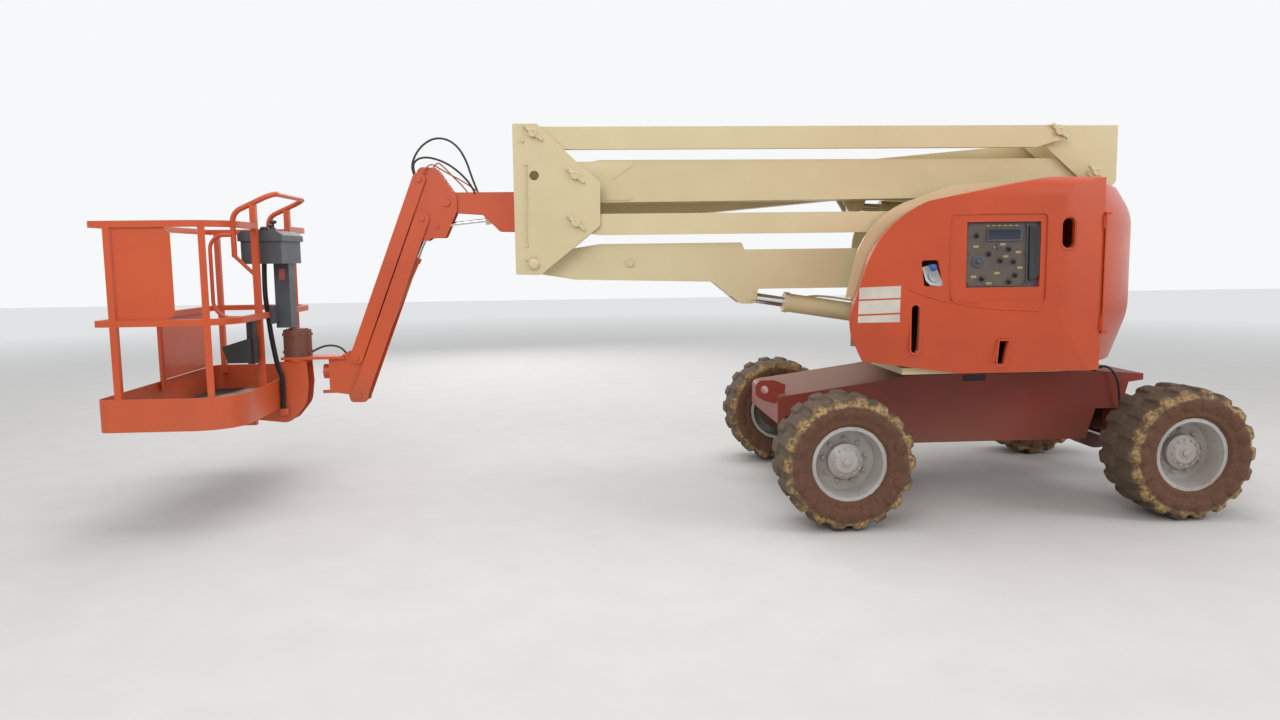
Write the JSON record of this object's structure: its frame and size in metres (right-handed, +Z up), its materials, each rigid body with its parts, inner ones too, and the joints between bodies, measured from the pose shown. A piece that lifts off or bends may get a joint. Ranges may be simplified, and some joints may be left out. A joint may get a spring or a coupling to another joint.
{
  "type": "articulating boom lift",
  "caption": "Four-wheeled lifting machine with a folding tower, telescoping boom, jib and railed work platform.",
  "frame": {"origin": "on the floor under the middle of the whole machine's box", "axes": "+X along the machine towards the counterweight and the steered axle, +Y to the far side, +Z up"},
  "size_m": [6.864, 2.336, 2.458],
  "materials": {
    "tyre_rubber": "dusty black tyre rubber",
    "rim_silver": "silver-grey paint",
    "axle_paint": "dirty dark paint",
    "chassis_paint": "worn red-orange paint",
    "bare_steel": "worn steel",
    "chrome_rod": "hard chrome",
    "hood_paint": "glossy orange-red paint",
    "boom_cream": "cream paint",
    "platform_orange": "sun-faded orange paint",
    "engine_iron": "oily cast iron",
    "tank_plastic": "black moulded",
    "rotator_brown": "stained brown paint",
    "console_grey": "grey moulded",
    "black_plastic": "black moulded"
  },
  "bodies": {
    "chassis": {"chassis_frame": "chassis_paint", "drive_axle": "axle_paint", "steer_axle": "axle_paint", "slew_bearing": "bare_steel"},
    "wheel_rear_near": {"tyre_rear_near": "tyre_rubber", "rim_rear_near": "rim_silver"},
    "wheel_rear_far": {"tyre_rear_far": "tyre_rubber", "rim_rear_far": "rim_silver"},
    "knuckle_near": {"knuckle_near": "axle_paint"},
    "knuckle_far": {"knuckle_far": "axle_paint"},
    "wheel_front_near": {"tyre_front_near": "tyre_rubber", "rim_front_near": "rim_silver"},
    "wheel_front_far": {"tyre_front_far": "tyre_rubber", "rim_front_far": "rim_silver"},
    "steer_rod": {"steer_rod": "chrome_rod"},
    "turntable": {"turntable_base": "boom_cream", "counterweight": "hood_paint", "engine_block": "engine_iron", "tank": "tank_plastic"},
    "hood_near": {"hood_near": "hood_paint", "ground_controls": "console_grey"},
    "hood_far": {"hood_far": "hood_paint"},
    "lower_boom": {"lower_boom": "boom_cream"},
    "lower_link": {"lower_link": "boom_cream"},
    "front_upright": {"front_upright": "boom_cream"},
    "mid_boom": {"mid_boom": "boom_cream"},
    "top_link": {"top_link": "boom_cream"},
    "rear_upright": {"rear_upright": "boom_cream"},
    "main_boom": {"main_boom": "boom_cream"},
    "fly_boom": {"fly_boom": "platform_orange"},
    "head": {"head": "platform_orange"},
    "jib_arm": {"jib_arm": "platform_orange"},
    "jib_link": {"jib_link": "platform_orange"},
    "jib_support": {"jib_support": "platform_orange", "rotator": "rotator_brown"},
    "platform": {"toe_board": "platform_orange", "platform_deck": "bare_steel", "mount_frame": "platform_orange", "rails": "platform_orange", "rail_panels": "platform_orange", "console": "console_grey", "console_column": "console_grey", "document_box": "black_plastic"},
    "gate": {"gate": "platform_orange"},
    "lower_lift_barrel": {"lower_lift_barrel": "boom_cream"},
    "lower_lift_rod": {"lower_lift_rod": "chrome_rod"},
    "main_lift_barrel": {"main_lift_barrel": "boom_cream"},
    "main_lift_rod": {"main_lift_rod": "chrome_rod"},
    "level_barrel": {"level_barrel": "boom_cream"},
    "level_rod": {"level_rod": "chrome_rod"},
    "jib_lift_barrel": {"jib_lift_barrel": "platform_orange"},
    "jib_lift_rod": {"jib_lift_rod": "chrome_rod"}
  },
  "joints": [
    {"name": "wheel_rear_near_spin", "type": "hinge", "parent": "chassis", "child": "wheel_rear_near", "pos_m": [0.948, -0.963, 0.404], "axis": [0, 1, 0], "continuous": true},
    {"name": "wheel_rear_far_spin", "type": "hinge", "parent": "chassis", "child": "wheel_rear_far", "pos_m": [0.948, 0.963, 0.404], "axis": [0, 1, 0], "continuous": true},
    {"name": "wheel_front_near_spin", "type": "hinge", "parent": "knuckle_near", "child": "wheel_front_near", "pos_m": [3.028, -0.963, 0.404], "axis": [0, 1, 0], "continuous": true},
    {"name": "wheel_front_far_spin", "type": "hinge", "parent": "knuckle_far", "child": "wheel_front_far", "pos_m": [3.028, 0.963, 0.404], "axis": [0, 1, 0], "continuous": true},
    {"name": "steer_near", "type": "hinge", "parent": "chassis", "child": "knuckle_near", "pos_m": [3.028, -0.64, 0.404], "axis": [0, 0, 1], "range_deg": [-35, 35]},
    {"name": "steer_far", "type": "hinge", "parent": "chassis", "child": "knuckle_far", "pos_m": [3.028, 0.64, 0.404], "axis": [0, 0, 1], "range_deg": [-35, 35]},
    {"name": "steer_rod_travel", "type": "slide", "parent": "chassis", "child": "steer_rod", "axis": [0, 1, 0], "range_m": [-0.08604, 0.08604]},
    {"name": "slew", "type": "hinge", "parent": "chassis", "child": "turntable", "pos_m": [1.988, 0, 0.906], "axis": [0, 0, 1], "range_deg": [-177.5, 177.5]},
    {"name": "hood_near_swing", "type": "hinge", "parent": "turntable", "child": "hood_near", "pos_m": [2.494, -1.025, 1.4], "axis": [0, 0, 1], "range_deg": [0, 100]},
    {"name": "hood_far_swing", "type": "hinge", "parent": "turntable", "child": "hood_far", "pos_m": [2.494, 1.025, 1.4], "axis": [0, 0, -1], "range_deg": [0, 100]},
    {"name": "tower_lift", "type": "hinge", "parent": "turntable", "child": "lower_boom", "pos_m": [2.488, -0.145, 1.583], "axis": [0, 1, 0], "range_deg": [0, 68]},
    {"name": "tower_lower_link", "type": "hinge", "parent": "turntable", "child": "lower_link", "pos_m": [2.759, -0.145, 1.841], "axis": [0, 1, 0], "range_deg": [0, 68]},
    {"name": "tower_front_upright", "type": "hinge", "parent": "lower_boom", "child": "front_upright", "pos_m": [-0.886, -0.145, 1.583], "axis": [0, 1, 0], "range_deg": [-68, 0]},
    {"name": "tower_mid_boom", "type": "hinge", "parent": "front_upright", "child": "mid_boom", "pos_m": [-0.615, -0.145, 2.138], "axis": [0, -1, 0], "range_deg": [0, 68]},
    {"name": "tower_top_link", "type": "hinge", "parent": "front_upright", "child": "top_link", "pos_m": [-0.875, -0.145, 2.402], "axis": [0, -1, 0], "range_deg": [0, 68]},
    {"name": "tower_rear_upright", "type": "hinge", "parent": "mid_boom", "child": "rear_upright", "pos_m": [2.805, -0.145, 2.138], "axis": [0, -1, 0], "range_deg": [-68, 0]},
    {"name": "lower_lift_barrel_swing", "type": "hinge", "parent": "turntable", "child": "lower_lift_barrel", "pos_m": [2.238, -0.145, 1.07], "axis": [0, 1, 0], "range_deg": [0, 63.42]},
    {"name": "lower_lift_rod_travel", "type": "slide", "parent": "lower_lift_barrel", "child": "lower_lift_rod", "axis": [-0.9873, 0, 0.1587], "range_m": [0, 0.6175]},
    {"name": "main_lift", "type": "hinge", "parent": "rear_upright", "child": "main_boom", "pos_m": [2.788, 0.13, 2.29], "axis": [0, 1, 0], "range_deg": [0, 75]},
    {"name": "main_lift_barrel_swing", "type": "hinge", "parent": "rear_upright", "child": "main_lift_barrel", "pos_m": [2.688, 0.13, 1.88], "axis": [0, 1, 0], "range_deg": [0, 67.84]},
    {"name": "main_lift_rod_travel", "type": "slide", "parent": "main_lift_barrel", "child": "main_lift_rod", "axis": [-0.9987, 0, 0.0509], "range_m": [0, 0.47356]},
    {"name": "telescope", "type": "slide", "parent": "main_boom", "child": "fly_boom", "axis": [-0.9962, 0, -0.0872], "range_m": [0, 1.2]},
    {"name": "head_level", "type": "hinge", "parent": "fly_boom", "child": "head", "pos_m": [-1.482, 0.13, 2], "axis": [0, 1, 0], "range_deg": [-75, 0]},
    {"name": "level_barrel_swing", "type": "hinge", "parent": "fly_boom", "child": "level_barrel", "pos_m": [-0.762, 0.13, 1.93], "axis": [0, 1, 0], "range_deg": [0, 2.76]},
    {"name": "level_rod_travel", "type": "slide", "parent": "level_barrel", "child": "level_rod", "axis": [-0.9946, 0, -0.1038], "range_m": [-0.19918, 0]},
    {"name": "jib_lift", "type": "hinge", "parent": "head", "child": "jib_arm", "pos_m": [-1.657, 0.13, 2.155], "axis": [0, 1, 0], "range_deg": [0, 130]},
    {"name": "jib_link_swing", "type": "hinge", "parent": "head", "child": "jib_link", "pos_m": [-1.647, 0.13, 1.895], "axis": [0, 1, 0], "range_deg": [0, 130]},
    {"name": "jib_support_level", "type": "hinge", "parent": "jib_arm", "child": "jib_support", "pos_m": [-2.11988, 0.13, 0.96163], "axis": [0, 1, 0], "range_deg": [-130, 0]},
    {"name": "jib_lift_barrel_swing", "type": "hinge", "parent": "jib_link", "child": "jib_lift_barrel", "pos_m": [-1.9952, 0.13, 1.0111], "axis": [0, 1, 0], "range_deg": [-1.12, 0]},
    {"name": "jib_lift_rod_travel", "type": "slide", "parent": "jib_lift_barrel", "child": "jib_lift_rod", "axis": [0.4255, 0, 0.9049], "range_m": [0, 0.21775]},
    {"name": "platform_turn", "type": "hinge", "parent": "jib_support", "child": "platform", "pos_m": [-2.527, 0.13, 0.957], "axis": [0, 0, 1], "range_deg": [-90, 90]},
    {"name": "gate_swing", "type": "hinge", "parent": "platform", "child": "gate", "pos_m": [-3.4067, -0.52, 1.27], "axis": [0, 0, 1], "range_deg": [-90, 0]}
  ],
  "couplings": [
    {"joint": "steer_far", "follows": "steer_near", "ratio": 1},
    {"joint": "steer_rod_travel", "follows": "steer_near", "m_per_rad": -0.14084},
    {"joint": "tower_lower_link", "follows": "tower_lift", "ratio": 1},
    {"joint": "tower_front_upright", "follows": "tower_lift", "ratio": -1},
    {"joint": "tower_mid_boom", "follows": "tower_lift", "ratio": 1},
    {"joint": "tower_top_link", "follows": "tower_lift", "ratio": 1},
    {"joint": "tower_rear_upright", "follows": "tower_lift", "ratio": -1},
    {"joint": "lower_lift_barrel_swing", "follows": "tower_lift", "ratio": 0.93246},
    {"joint": "lower_lift_rod_travel", "follows": "tower_lift", "m_per_rad": 0.52022},
    {"joint": "main_lift_barrel_swing", "follows": "main_lift", "ratio": 0.90445},
    {"joint": "main_lift_rod_travel", "follows": "main_lift", "m_per_rad": 0.3617},
    {"joint": "head_level", "follows": "main_lift", "ratio": -1},
    {"joint": "level_barrel_swing", "follows": "main_lift", "ratio": 0.036628},
    {"joint": "level_rod_travel", "follows": "main_lift", "m_per_rad": -0.15208},
    {"joint": "jib_link_swing", "follows": "jib_lift", "ratio": 1},
    {"joint": "jib_support_level", "follows": "jib_lift", "ratio": -1},
    {"joint": "jib_lift_barrel_swing", "follows": "jib_lift", "ratio": -0.008567},
    {"joint": "jib_lift_rod_travel", "follows": "jib_lift", "m_per_rad": 0.095926}
  ]
}
